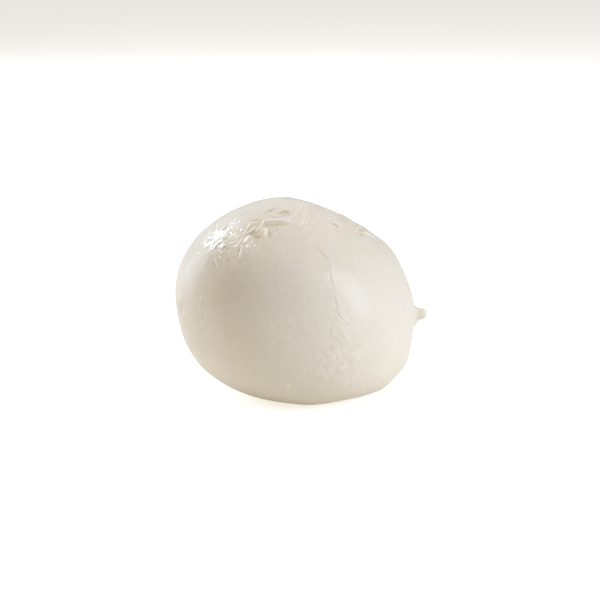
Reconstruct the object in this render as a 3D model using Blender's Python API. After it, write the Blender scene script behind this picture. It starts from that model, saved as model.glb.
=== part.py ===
"""A ball of fresh mozzarella, standing as it settles on a table once it is out of its brine.

The ball is one piece of stretched curd, so the model is one closed mesh. It starts as
directions from the middle of the ball, evenly spread and closer together where small
forms rise. Every function after that moves points: out to the settled body, in where a
neighbour or the table pressed it, out again into the nub where it was pinched off the
rope of curd, and last up and down into the folds of its skin.

Metres, +Z up, the origin on the table under the middle of the ball's box. A place on the
ball is two angles: around, from the nub (0) past the back (90), and up from the equator.
"""

import math
from collections import namedtuple

import bmesh
import bpy
import numpy as np

MM = 0.001

# ---- the settled body ----
HALF_LENGTH = 33.1 * MM  # X, before the sides are pressed
HALF_DEPTH = 30.5 * MM  # Y
HALF_HEIGHT = 27.2 * MM  # Z
LEAN = 0.205  # how far the top leans away from the nub, for each metre of height
FULLNESS = 0.16  # fuller than an egg between the equator and the poles
SAG = 0.435  # what the upper half gives up of that, and the lower half gains
SKEW = 0.143  # the nub's side is longer above the equator, the other side below it
SHIFT = (0.4 * MM, 0.0, 1.2 * MM)  # the body's middle from the point that the flats are set out from

# ---- flats, where the ball was pressed: each is level up and down and rounded from side to side ----
Flat = namedtuple("Flat", "around up reach rounding rim")  # reach is its distance from that point
SIDE_FLATS = (
    Flat(0, -46.5, 33.5 * MM, 60 * MM, 0.15 * MM),  # the crisp one, low on the nub's side
    Flat(0, -4, 33.5 * MM, 34 * MM, 0.6 * MM),
    Flat(0, 23.5, 30.7 * MM, 34 * MM, 1.0 * MM),
    Flat(0, 55.5, 27.4 * MM, 44 * MM, 1.0 * MM),
    Flat(0, -76.5, 28.9 * MM, 48 * MM, 0.6 * MM),
    Flat(180, 69, 29.3 * MM, 44 * MM, 0.6 * MM),
    Flat(80, 22, 28.6 * MM, 60 * MM, 0.9 * MM),  # a broad one at the back
)
TABLE_DEPTH = 25.6 * MM  # from the flats' point down to the table
TABLE_RIM = 0.35 * MM
SPOT_RISE = 0.15 * MM  # below this height over the table the curd lies dead flat

# ---- the nub left where the ball was pinched off ----
NUB_AROUND, NUB_UP = -5, -9.5
NUB_OUTLINE = (  # radius and height, in millimetres
    (0.0, 3.3), (0.6, 3.25), (1.1, 2.95), (1.42, 2.45), (1.56, 1.9), (1.58, 1.3), (1.68, 0.75), (2.1, 0.2), (2.8, 0.0)
)
NUB_TILT = 0.16  # it points up by this much of its length
NUB_FLATTENING = 0.85  # front to back, against its height

# ---- folds of the skin: an arc on the surface, its half width and its height ----
Fold = namedtuple("Fold", "around up heading length bend width height")
FOLDS = (
    Fold(-109.5, 64.0, 12, 8.9 * MM, 8, 1.00 * MM, 0.75 * MM),  # the long spindle across the crown
    Fold(-110.8, 52.5, 74, 7.6 * MM, 23, 0.5 * MM, 0.50 * MM),  # the star of folds round the pit
    Fold(-110.0, 56.9, -124, 4.8 * MM, -42, 0.6 * MM, 0.46 * MM),
    Fold(-119.4, 54.4, 115, 6.0 * MM, -108, 0.5 * MM, 0.34 * MM),
    Fold(-113.4, 52.2, -108, 4.6 * MM, 2, 0.8 * MM, 0.60 * MM),
    Fold(-118.0, 45.6, -69, 6.2 * MM, -24, 0.45 * MM, 0.26 * MM),
    Fold(-111.4, 48.6, 30, 2.9 * MM, -39, 0.5 * MM, 0.22 * MM),
    Fold(-33.4, 60.6, 8, 4.6 * MM, -150, 0.5 * MM, 0.26 * MM),  # the small leaf high on the nub's side
)
Knob = namedtuple("Knob", "around up across along height")
KNOBS = (
    Knob(-105.0, 54.9, 1.75 * MM, 2.2 * MM, 0.90 * MM),  # the blister beside the star
    Knob(-111.2, 53.4, 0.8 * MM, 0.9 * MM, -0.50 * MM),  # the pit in its middle
    Knob(-79, 71, 1.5 * MM, 1.7 * MM, -0.28 * MM),  # the shallow ring at the top
    Knob(NUB_AROUND, NUB_UP - 4.5, 1.5 * MM, 1.6 * MM, 0.90 * MM),  # the web of curd under the nub
    Knob(NUB_AROUND, NUB_UP + 4.0, 1.2 * MM, 0.7 * MM, 0.45 * MM),  # and the roll of skin over it
)
# The seam, where the outer layer of curd ends: a lip that falls off on the side away from the nub.
SEAM = (
    Fold(-64.2, 33.4, -115, 6.8 * MM, 35, 2.2 * MM, 0.10 * MM),
    Fold(-67.8, 20.6, -93, 6.8 * MM, 17, 2.2 * MM, 0.15 * MM),
    Fold(-69.8, -0.1, -76, 6.2 * MM, 25, 2.2 * MM, 0.13 * MM),
)
SEAM_DROP = 0.8 * MM
FOLD_STEPS = 8  # straight pieces that stand for a fold's arc

# ---- how fine the mesh is ----
EVEN_SPLITS = 5  # of an icosahedron's faces
FINE_MARGINS = (2.0 * MM, 0.9 * MM, 0.2 * MM)  # each halves the triangles this near to a small form
SKIN_COLOR = (0.87, 0.83, 0.75, 1.0)


def direction(around, up):
    """The unit vector that leaves the middle of the ball at these two angles, in degrees."""
    a, u = math.radians(around), math.radians(up)
    return np.array((math.cos(u) * math.cos(a), math.cos(u) * math.sin(a), math.sin(u)))


def soft_excess(distance, rim):
    """How far past zero each distance is, rounded off over the rim instead of cornered."""
    return rim * np.logaddexp(0, distance / rim)


def settled_body(directions):
    """The egg-like body that a soft ball takes, before anything presses it."""
    x, y, z = directions.T
    reach = 1 + (1 - z**2) * z**2 * (FULLNESS - SAG * z)
    sizes = np.column_stack((HALF_LENGTH * (1 + SKEW * x * z), HALF_DEPTH + 0 * y, HALF_HEIGHT + 0 * z))
    points = directions * sizes * reach[:, None]
    points[:, 0] -= LEAN * points[:, 2]
    return points + SHIFT


def pressed(points):
    """The body with its side flats and the small flat spot that it rests on."""
    for flat in SIDE_FLATS:
        out = direction(flat.around, flat.up)
        across = points @ direction(flat.around + 90, 0)
        excess = points @ out + across**2 / (2 * flat.rounding) - flat.reach
        points = points - np.outer(soft_excess(excess, flat.rim), out)
    points[:, 2] += soft_excess(-points[:, 2] - TABLE_DEPTH, TABLE_RIM)
    points[:, 2] = np.maximum(points[:, 2], SPOT_RISE - TABLE_DEPTH)
    return points


def smooth_body(directions):
    return pressed(settled_body(directions))


def frame_at(around, up):
    """The body's surface point at a place, and there its rightward, upward and outward unit vectors."""
    out = direction(around, up)
    side = np.cross((0, 0, 1), out)
    rise = np.cross(out, side)
    step = 0.01
    near = np.array((out, out + step * side, out - step * side, out + step * rise, out - step * rise))
    near /= np.linalg.norm(near, axis=1)[:, None]
    start, right_end, left_end, top_end, low_end = smooth_body(near)
    outward = np.cross(right_end - left_end, top_end - low_end)
    outward /= np.linalg.norm(outward)
    rightward = np.cross((0, 0, 1), outward)
    rightward /= np.linalg.norm(rightward)
    return start, rightward, np.cross(outward, rightward), outward


def seen_from_outside(points, around, up):
    """The points' positions in the frame of a place: to its right, above it and out from it."""
    start, rightward, upward, outward = frame_at(around, up)
    return (points - start) @ np.column_stack((rightward, upward, outward))


def along_and_beside(points, fold):
    """How far along a fold's arc each point is, from 0 to 1, and how far to the left of it."""
    flat = seen_from_outside(points, fold.around, fold.up)
    beside = np.full(len(points), np.inf)
    share = np.zeros(len(points))
    start = np.zeros(2)
    for step in range(FOLD_STEPS):
        heading = math.radians(fold.heading + fold.bend * (step + 0.5) / FOLD_STEPS)
        ahead = np.array((math.cos(heading), math.sin(heading)))
        length = fold.length / FOLD_STEPS
        offset = flat[:, :2] - start
        reached = np.clip(offset @ ahead, 0, length)
        gap = offset - np.outer(reached, ahead)
        distance = np.hypot(gap[:, 0], gap[:, 1])
        closer = (distance < abs(beside)) & (flat[:, 2] > -fold.length)
        side = np.where(ahead[0] * gap[:, 1] - ahead[1] * gap[:, 0] < 0, -1, 1)
        beside = np.where(closer, side * distance, beside)
        share = np.where(closer, (step + reached / length) / FOLD_STEPS, share)
        start = start + ahead * length
    return share, beside


def spindle(share):
    """A fold's height along its length: full in the middle, nothing at its two ends."""
    return np.sqrt(np.clip(4 * share * (1 - share), 0, 1))


def fold_rise(points, fold):
    """A rounded ridge."""
    share, beside = along_and_beside(points, fold)
    across = np.clip(1 - (beside / fold.width) ** 2, 0, 1) ** 1.5
    return fold.height * spindle(share) * across


def seam_rise(points, fold):
    """The edge of a layer: a short drop on the right of the arc, and a long slope on its left."""
    share, beside = along_and_beside(points, fold)
    slope = np.exp(-np.maximum(beside, 0) / fold.width)
    drop = np.cos(np.clip(-beside / SEAM_DROP, 0, 1) * math.pi / 2) ** 2
    return fold.height * spindle(share) * slope * drop


def knob_rise(points, knob):
    """A dome, or with a negative height a pit."""
    flat = seen_from_outside(points, knob.around, knob.up)
    radius = np.hypot(flat[:, 0] / knob.across, flat[:, 1] / knob.along)
    return np.where(flat[:, 2] > -knob.along, knob.height * np.clip(1 - radius**2, 0, 1) ** 0.75, 0)


def nub_moved(points):
    """The points round the nub, gathered in and drawn out along its outline."""
    start, rightward, upward, outward = frame_at(NUB_AROUND, NUB_UP)
    flat = seen_from_outside(points, NUB_AROUND, NUB_UP)
    outline = np.array(NUB_OUTLINE) * MM
    lengths = np.concatenate(((0,), np.cumsum(np.hypot(*np.diff(outline, axis=0).T))))
    radius = np.hypot(flat[:, 0] / NUB_FLATTENING, flat[:, 1])
    root = outline[-1, 0]
    inside = (radius < root) & (flat[:, 2] > -root)
    share = radius / root * lengths[-1]
    drawn_radius = np.interp(share, lengths, outline[:, 0])
    drawn_height = np.interp(share, lengths, outline[:, 1])
    gather = drawn_radius / np.maximum(radius, 1e-9)
    moved = np.outer(flat[:, 0] * gather, rightward) + np.outer(flat[:, 1] * gather, upward)
    moved += start + np.outer(flat[:, 2] + drawn_height, outward) + np.outer(NUB_TILT * drawn_height, upward)
    return np.where(inside[:, None], moved, points)


def small_form_distance(points):
    """How near each point is to the closest fold, knob or the nub's rim; 0 inside one."""
    distances = [np.clip(abs(along_and_beside(points, f)[1]) - f.width, 0, None) for f in FOLDS]
    distances += [abs(along_and_beside(points, f)[1]) for f in SEAM]
    for around, up, size in [(k.around, k.up, max(k.across, k.along)) for k in KNOBS]:
        flat = seen_from_outside(points, around, up)
        distances.append(np.clip(np.linalg.norm(flat, axis=1) - size, 0, None))
    return np.min(distances, axis=0)


def nub_distance(points):
    flat = seen_from_outside(points, NUB_AROUND, NUB_UP)
    return np.clip(np.linalg.norm(flat, axis=1) - NUB_OUTLINE[-1][0] * MM, 0, None)


def directions_of(bm):
    return np.array([vertex.co for vertex in bm.verts])


def split_where(bm, near):
    """Halves the edges whose two ends are both marked near, and keeps every face a triangle."""
    edges = [edge for edge in bm.edges if near[edge.verts[0].index] and near[edge.verts[1].index]]
    bmesh.ops.subdivide_edges(bm, edges=edges, cuts=1)
    bmesh.ops.triangulate(bm, faces=[face for face in bm.faces if len(face.verts) > 3])
    for vertex in bm.verts:
        vertex.co.normalize()
    bm.verts.index_update()


def spread_directions():
    """A sphere of triangles, finer where the small forms will be."""
    bm = bmesh.new()
    bmesh.ops.create_icosphere(bm, subdivisions=EVEN_SPLITS, radius=1)
    bm.verts.index_update()
    for margin in FINE_MARGINS:
        points = smooth_body(directions_of(bm))
        split_where(bm, (small_form_distance(points) < margin) | (nub_distance(points) < margin))
    return bm


def outward_normals(bm):
    bm.normal_update()
    return np.array([vertex.normal for vertex in bm.verts])


def move_vertices(bm, points):
    for vertex, point in zip(bm.verts, points):
        vertex.co = point


def ball_mesh():
    """The whole ball, with its box's bottom centre at the origin."""
    bm = spread_directions()
    body = smooth_body(directions_of(bm))
    move_vertices(bm, body)
    rise = sum(fold_rise(body, fold) for fold in FOLDS) + sum(knob_rise(body, knob) for knob in KNOBS)
    rise = rise + sum(seam_rise(body, fold) for fold in SEAM)
    points = nub_moved(body + outward_normals(bm) * rise[:, None])
    low, high = points.min(axis=0), points.max(axis=0)
    move_vertices(bm, points - np.array(((low[0] + high[0]) / 2, (low[1] + high[1]) / 2, low[2])))
    mesh = bpy.data.meshes.new("mozzarella_ball")
    bm.to_mesh(mesh)
    bm.free()
    mesh.shade_smooth()
    return mesh


def curd_material():
    """Wet fresh curd: a warm white that is neither dull nor shiny."""
    material = bpy.data.materials.new("cheese")
    material.use_nodes = True
    shader = material.node_tree.nodes["Principled BSDF"]
    shader.inputs["Base Color"].default_value = SKIN_COLOR
    shader.inputs["Roughness"].default_value = 0.42
    shader.inputs["Metallic"].default_value = 0.0
    return material


def main():
    for leftover in list(bpy.data.objects):
        bpy.data.objects.remove(leftover)
    mesh = ball_mesh()
    mesh.materials.append(curd_material())
    collection = bpy.data.collections.new("mozzarella ball")
    bpy.context.scene.collection.children.link(collection)
    collection.objects.link(bpy.data.objects.new("mozzarella_ball", mesh))


main()
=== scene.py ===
# %% [markdown]
# # A ball of fresh mozzarella
# Fresh mozzarella is curd that was stretched in hot water like dough and pinched off by hand.
# The pinch leaves its marks: a gathered crown, a seam where one layer ends, and a nub.
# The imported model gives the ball's size and place. This file makes the surface that is seen.

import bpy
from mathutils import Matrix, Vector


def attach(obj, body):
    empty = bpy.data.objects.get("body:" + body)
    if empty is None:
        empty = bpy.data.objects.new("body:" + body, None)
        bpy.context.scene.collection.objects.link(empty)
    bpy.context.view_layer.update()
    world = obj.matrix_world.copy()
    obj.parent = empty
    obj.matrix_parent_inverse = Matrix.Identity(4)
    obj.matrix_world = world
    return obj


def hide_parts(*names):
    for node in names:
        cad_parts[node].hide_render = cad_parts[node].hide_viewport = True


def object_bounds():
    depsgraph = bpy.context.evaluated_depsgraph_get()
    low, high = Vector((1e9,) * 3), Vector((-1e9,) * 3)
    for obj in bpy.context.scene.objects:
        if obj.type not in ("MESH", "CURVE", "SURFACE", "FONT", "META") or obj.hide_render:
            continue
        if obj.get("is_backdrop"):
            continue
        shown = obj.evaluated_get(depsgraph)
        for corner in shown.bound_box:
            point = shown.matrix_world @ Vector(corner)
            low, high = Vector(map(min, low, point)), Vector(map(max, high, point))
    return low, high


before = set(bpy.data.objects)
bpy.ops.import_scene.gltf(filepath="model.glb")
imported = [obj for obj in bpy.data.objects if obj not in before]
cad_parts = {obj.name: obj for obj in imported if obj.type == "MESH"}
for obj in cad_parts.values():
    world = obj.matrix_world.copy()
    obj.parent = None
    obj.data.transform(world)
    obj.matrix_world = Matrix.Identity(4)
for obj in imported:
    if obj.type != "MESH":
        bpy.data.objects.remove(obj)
cad_box = [list(corner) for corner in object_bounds()]

import math
import random
from collections import namedtuple

import bmesh
import bpy
import numpy as np
from mathutils import Vector, noise

MM = 0.001
print("the packed ball's box, mm:", [[round(x / MM, 1) for x in corner] for corner in cad_box])

# %% [markdown]
# ## Places on a ball
# Two angles name a place: around, from the nub (0) past the back (90), and up from the
# equator. A sphere of directions carries every point, so a place stays the same however
# the ball is squeezed afterwards.

# %% Directions


def direction(around, up):
    """The unit vector that leaves the middle of the ball at these two angles, in degrees."""
    a, u = math.radians(around), math.radians(up)
    return np.array((math.cos(u) * math.cos(a), math.cos(u) * math.sin(a), math.sin(u)))


# %% [markdown]
# ## The settled body
# A soft ball on a table is no sphere: it slumps, fills out low down and leans. It could be
# sculpted, but a few shares of its length, depth and height give the same form again each
# time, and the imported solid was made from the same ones.

# %% The slumped egg
HALF_SIZES = np.array((33.1, 30.5, 27.2)) * MM
LEAN = 0.205  # how far the top leans away from the nub
FULLNESS, SAG = 0.16, 0.435  # fuller than an egg, and more so low down
SKEW = 0.143
SHIFT = np.array((0.4, 0.0, 1.2)) * MM


def settled_body(directions):
    x, y, z = directions.T
    reach = 1 + (1 - z**2) * z**2 * (FULLNESS - SAG * z)
    points = directions * HALF_SIZES * reach[:, None]
    points[:, 0] *= 1 + SKEW * x * z
    points[:, 0] -= LEAN * points[:, 2]
    return points + SHIFT


# %% [markdown]
# ## Flats
# Each flat is where a neighbour in the tub, or the table, pressed the curd. A plane would cut
# a hard facet, so the excess is taken off softly: nothing is lost well inside the flat's
# distance, everything beyond it, and the rim between the two is rounded.

# %% Pressing
Flat = namedtuple("Flat", "around up reach rounding rim")
SIDE_FLATS = (
    Flat(0, -46.5, 33.5 * MM, 60 * MM, 0.15 * MM),  # the crisp one, low on the nub's side
    Flat(0, -4, 33.5 * MM, 34 * MM, 0.6 * MM),
    Flat(0, 23.5, 30.7 * MM, 34 * MM, 1.0 * MM),
    Flat(0, 55.5, 27.4 * MM, 44 * MM, 1.0 * MM),
    Flat(0, -76.5, 28.9 * MM, 48 * MM, 0.6 * MM),
    Flat(180, 69, 29.3 * MM, 44 * MM, 0.6 * MM),
    Flat(80, 22, 28.6 * MM, 60 * MM, 0.9 * MM),  # a broad one at the back
)
TABLE_DEPTH, TABLE_RIM, SPOT_RISE = 25.6 * MM, 0.35 * MM, 0.15 * MM


def soft_excess(distance, rim):
    return rim * np.logaddexp(0, distance / rim)


def smooth_body(directions):
    points = settled_body(directions)
    for flat in SIDE_FLATS:
        out = direction(flat.around, flat.up)
        across = points @ direction(flat.around + 90, 0)
        excess = points @ out + across**2 / (2 * flat.rounding) - flat.reach
        points = points - np.outer(soft_excess(excess, flat.rim), out)
    points[:, 2] += soft_excess(-points[:, 2] - TABLE_DEPTH, TABLE_RIM)
    points[:, 2] = np.maximum(points[:, 2], SPOT_RISE - TABLE_DEPTH)
    return points


# %% [markdown]
# ## Working in the plane of a place
# A fold is easiest to describe as on paper: it starts here, heads off so many degrees above
# level, runs so long and bends so much. The paper is the plane that touches the ball at the
# fold's start.

# %% Frames and arcs
Fold = namedtuple("Fold", "around up heading length bend width height steep power", defaults=(0.0, 1.5))
ARC_STEPS = 8
PROBE_STEP = 0.01  # how far round a place the surface is felt for its slope


def frame_at(around, up):
    """The surface point at a place, with its rightward, upward and outward unit vectors."""
    out = direction(around, up)
    side = np.cross((0, 0, 1), out)
    rise = np.cross(out, side)
    side, rise = side * PROBE_STEP, rise * PROBE_STEP
    near = np.array((out, out + side, out - side, out + rise, out - rise))
    start, right_end, left_end, top_end, low_end = smooth_body(near / np.linalg.norm(near, axis=1)[:, None])
    outward = np.cross(right_end - left_end, top_end - low_end)
    outward /= np.linalg.norm(outward)
    rightward = np.cross((0, 0, 1), outward)
    rightward /= np.linalg.norm(rightward)
    return start, rightward, np.cross(outward, rightward), outward


def seen_from_outside(points, around, up):
    """The points' positions to the right of a place, above it and out from it."""
    start, *axes = frame_at(around, up)
    return (points - start) @ np.column_stack(axes)


def near_place(points, around, up, reach):
    """Which of the points lie within reach of a place."""
    offset = points - frame_at(around, up)[0]
    return np.flatnonzero(np.einsum("ij,ij->i", offset, offset) < reach**2)


def along_and_beside(points, fold):
    """How far along a fold's arc each point is, from 0 to 1, and how far to the left of it."""
    flat = seen_from_outside(points, fold.around, fold.up)[:, :2]
    beside = np.full(len(points), np.inf)
    share = np.zeros(len(points))
    start, length = np.zeros(2), fold.length / ARC_STEPS
    for step in range(ARC_STEPS):
        heading = math.radians(fold.heading + fold.bend * (step + 0.5) / ARC_STEPS)
        ahead = np.array((math.cos(heading), math.sin(heading)))
        offset = flat - start
        reached = np.clip(offset @ ahead, 0, length)
        gap = offset - np.outer(reached, ahead)
        distance = np.hypot(gap[:, 0], gap[:, 1])
        closer = distance < abs(beside)
        left = np.where(ahead[0] * gap[:, 1] - ahead[1] * gap[:, 0] < 0, -1, 1)
        beside = np.where(closer, left * distance, beside)
        share = np.where(closer, (step + reached / length) / ARC_STEPS, share)
        start = start + ahead * length
    return share, beside


# %% [markdown]
# ## The folds, zone by zone
# The lines that can be told apart on the skin are listed here, zone by zone. A ridge stands
# up, a crease has a negative height, and steep above 0 narrows a fold's right-hand side, which
# makes that edge crisp.

# %% The crown: a long spindle of skin, and short folds that meet in a star
CROWN = (
    Fold(-106.3, 63.3, 28, 7.6 * MM, -27, 0.85 * MM, 0.40 * MM, 0.1, 1.1),  # the spindle
    Fold(-104.5, 60.7, 1, 7.2 * MM, 35, 0.70 * MM, -0.10 * MM),
    Fold(-97.8, 67.9, 20, 2.2 * MM, -18, 0.26 * MM, 0.20 * MM),
    Fold(-97.6, 66.6, 17, 2.1 * MM, -12, 0.28 * MM, -0.14 * MM),
    Fold(-111.0, 53.1, 75, 5.9 * MM, 13, 0.30 * MM, 0.40 * MM, -0.3),  # along the blister
    Fold(-110.8, 60.7, -96, 5.2 * MM, -56, 0.36 * MM, 0.24 * MM, -0.2),  # the fold left of the pit
    Fold(-110.7, 56.8, -118, 3.4 * MM, -38, 0.34 * MM, -0.09 * MM),
    Fold(-119.6, 62.1, -80, 4.0 * MM, -14, 0.26 * MM, 0.28 * MM),
    Fold(-118.0, 61.4, -84, 3.4 * MM, -20, 0.28 * MM, -0.12 * MM),
    Fold(-123.6, 62.9, 33, 4.0 * MM, -20, 0.30 * MM, -0.12 * MM),
    Fold(-117.3, 60.8, 60, 2.4 * MM, -60, 0.28 * MM, 0.20 * MM),
    Fold(-115.1, 52.3, -95, 3.6 * MM, -16, 0.62 * MM, 0.24 * MM, 0.4, 1.1),  # the leaf below it
    Fold(-118.2, 45.0, -72, 4.7 * MM, -10, 0.24 * MM, 0.24 * MM),
    Fold(-119.8, 45.4, -72, 4.2 * MM, -10, 0.30 * MM, -0.10 * MM),
    Fold(-109.1, 49.1, 16, 1.8 * MM, -21, 0.32 * MM, 0.16 * MM, -0.3),
    Fold(-109.6, 50.6, 12, 4.2 * MM, 60, 0.30 * MM, -0.14 * MM),
    Fold(-98.2, 56.3, -45, 2.4 * MM, 16, 0.30 * MM, 0.14 * MM, -0.4),
    Fold(-99.0, 57.0, -70, 2.8 * MM, 0, 0.34 * MM, -0.08 * MM),
)

# %% The ring above the spindle
RING = (
    Fold(-87.0, 71.6, -94, 1.6 * MM, 0, 0.24 * MM, 0.26 * MM),
    Fold(-84.6, 70.6, 73, 3.4 * MM, -110, 0.34 * MM, -0.12 * MM),
    Fold(-84.0, 73.8, 57, 4.4 * MM, -150, 0.30 * MM, 0.18 * MM),
    Fold(-84.0, 67.8, -41, 2.9 * MM, 88, 0.28 * MM, 0.16 * MM),
    Fold(-113.1, 71.1, 31, 4.4 * MM, 59, 0.50 * MM, -0.12 * MM),
    Fold(-147.5, 66.5, 80, 2.6 * MM, 0, 0.40 * MM, -0.12 * MM),
)

# %% Threads that sweep away from the ring
FAN = (
    Fold(-1.1, 78.0, 183, 14.3 * MM, -27, 0.26 * MM, 0.12 * MM),
    Fold(4.1, 75.2, 176, 12.6 * MM, -19, 0.26 * MM, 0.10 * MM),
    Fold(-35.1, 77.6, -140, 7.4 * MM, -26, 0.26 * MM, 0.13 * MM),
    Fold(-47.5, 69.7, -126, 8.0 * MM, -40, 0.26 * MM, 0.15 * MM),
    Fold(-21.2, 69.9, -145, 5.5 * MM, -12, 0.26 * MM, 0.09 * MM),
    Fold(-63.1, 59.1, -125, 2.4 * MM, -49, 0.26 * MM, 0.16 * MM),
    Fold(-53.1, 67.5, -124, 6.6 * MM, -41, 0.26 * MM, 0.14 * MM),
    Fold(-72.3, 63.5, -134, 2.9 * MM, -12, 0.26 * MM, 0.13 * MM),
    Fold(-28.0, 76.6, -151, 9.7 * MM, -33, 0.26 * MM, 0.13 * MM),
)

# %% The seam, where the outer layer of curd ends, with its hook and creases
SEAM = (
    Fold(-69.1, 46.2, -53, 7.2 * MM, -20, 0.40 * MM, -0.08 * MM),
    Fold(-57.6, 45.6, -109, 7.0 * MM, 0, 0.36 * MM, 0.06 * MM, 0.0),
    Fold(-68.8, 46.0, -34, 5.3 * MM, 86, 0.26 * MM, 0.035 * MM),
    Fold(-64.8, 33.4, -115, 6.8 * MM, 35, 0.28 * MM, -0.035 * MM),
    Fold(-68.4, 20.6, -93, 6.8 * MM, 17, 0.30 * MM, -0.04 * MM),
    Fold(-73.1, 20.5, -32, 3.2 * MM, -29, 0.28 * MM, -0.025 * MM),
    Fold(-70.7, 45.1, -129, 6.1 * MM, 59, 0.34 * MM, 0.03 * MM),
    Fold(-55.9, 43.9, -96, 5.4 * MM, -11, 0.32 * MM, -0.02 * MM),
    Fold(-58.5, 31.0, -131, 1.6 * MM, 0, 0.30 * MM, -0.02 * MM),
    Fold(-70.3, 7.6, -59, 3.9 * MM, 6, 0.30 * MM, -0.05 * MM),
    Fold(-70.6, 5.0, -68, 3.0 * MM, 38, 0.28 * MM, 0.065 * MM),
    Fold(-65.7, 5.2, -51, 2.0 * MM, 0, 0.28 * MM, -0.04 * MM),
    Fold(-69.2, -0.2, -10, 2.0 * MM, 0, 0.28 * MM, -0.04 * MM),
    Fold(-67.6, 1.6, -10, 1.4 * MM, 0, 0.30 * MM, 0.07 * MM),
    Fold(-73.9, 1.9, -92, 5.2 * MM, -8, 0.28 * MM, -0.05 * MM),
    Fold(-30.0, 62.5, -141, 12.0 * MM, 20, 0.80 * MM, 0.03 * MM),
)
LIPS = (  # the layer's own edge: it drops off on its right, and slopes away on its left
    Fold(-64.2, 33.4, -115, 6.8 * MM, 35, 0.5 * MM, 0.05 * MM),
    Fold(-67.8, 20.6, -93, 6.8 * MM, 17, 0.6 * MM, 0.075 * MM),
    Fold(-69.6, 9.0, -66, 5.0 * MM, 0, 0.5 * MM, 0.06 * MM),
    Fold(-69.8, -0.1, -76, 6.2 * MM, 25, 0.5 * MM, 0.065 * MM),
    Fold(-66.6, -17.0, -43, 3.7 * MM, 7, 0.5 * MM, 0.05 * MM),
)
LIP_SLOPE = 2.2 * MM

# %% Below the seam the layer frays into zigzag creases and threads that run up to the right
FRAYED = (
    Fold(-73.6, -8.6, -31, 3.2 * MM, -46, 0.30 * MM, -0.045 * MM),
    Fold(-75.9, -10.6, -94, 2.0 * MM, 0, 0.30 * MM, -0.035 * MM),
    Fold(-73.4, -14.8, -69, 2.9 * MM, 23, 0.28 * MM, 0.075 * MM),
    Fold(-74.2, -16.4, -74, 2.6 * MM, 0, 0.30 * MM, -0.04 * MM),
    Fold(-70.4, -17.3, -37, 1.8 * MM, 0, 0.32 * MM, -0.04 * MM),
    Fold(-67.4, -18.0, 8, 1.3 * MM, 0, 0.34 * MM, 0.08 * MM),
    Fold(-70.7, -21.6, -79, 2.2 * MM, 0, 0.28 * MM, 0.055 * MM),
    Fold(-67.7, -24.2, -57, 2.3 * MM, 0, 0.32 * MM, -0.04 * MM),
    Fold(-78.4, -30.7, 67, 2.6 * MM, 0, 0.32 * MM, -0.035 * MM),
    Fold(-82.9, -20.2, 2, 1.8 * MM, 0, 0.30 * MM, 0.065 * MM),
    Fold(-82.9, -23.0, -71, 2.2 * MM, 0, 0.30 * MM, 0.07 * MM),
    Fold(-91.6, -23.5, -55, 2.6 * MM, 57, 0.28 * MM, 0.065 * MM),
    Fold(-81.9, -29.0, -59, 2.1 * MM, 0, 0.28 * MM, 0.065 * MM),
    Fold(-84.2, -20.0, -95, 1.3 * MM, 0, 0.44 * MM, -0.045 * MM),
    Fold(-84.4, -29.5, -80, 1.3 * MM, 0, 0.38 * MM, -0.035 * MM),
    Fold(-76.9, -38.6, 59, 2.8 * MM, 0, 0.30 * MM, -0.035 * MM),
    Fold(-70.2, -38.6, 58, 3.4 * MM, 0, 0.32 * MM, -0.04 * MM),
    Fold(-55.2, -37.8, 62, 2.8 * MM, 0, 0.30 * MM, -0.03 * MM),
    Fold(-48.8, -42.2, 74, 3.0 * MM, 0, 0.32 * MM, -0.03 * MM),
    Fold(-110.7, -28.5, -52, 8.0 * MM, -33, 0.22 * MM, 0.05 * MM),
    Fold(-105.0, -3.3, 46, 2.6 * MM, -69, 0.24 * MM, 0.025 * MM),
    Fold(-96.7, -2.9, -45, 2.3 * MM, 93, 0.24 * MM, 0.025 * MM),
    Fold(-132.6, -12.9, -19, 5.1 * MM, -57, 0.30 * MM, 0.03 * MM),
    Fold(-53.0, -1.4, 15, 5.9 * MM, 46, 0.44 * MM, -0.01 * MM),
)

# %% Over the nub, a small leaf of skin folded shut, and a nicked edge
LEAF = (
    Fold(-33.4, 59.5, -84, 2.4 * MM, 0, 0.50 * MM, -0.22 * MM),
    Fold(-32.7, 60.4, -1, 5.1 * MM, -162, 0.28 * MM, 0.20 * MM),
    Fold(-35.8, 59.0, -123, 3.7 * MM, 108, 0.26 * MM, 0.14 * MM),
    Fold(-42.7, 54.6, -125, 1.7 * MM, 0, 0.28 * MM, 0.14 * MM),
    Fold(0.8, 55.2, -142, 5.7 * MM, -20, 0.34 * MM, -0.12 * MM),
    Fold(-11.2, 47.4, -10, 5.3 * MM, -100, 0.70 * MM, 0.24 * MM, -0.3),
    Fold(-15.2, 47.2, -84, 5.6 * MM, 83, 0.30 * MM, -0.07 * MM),
)

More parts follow.
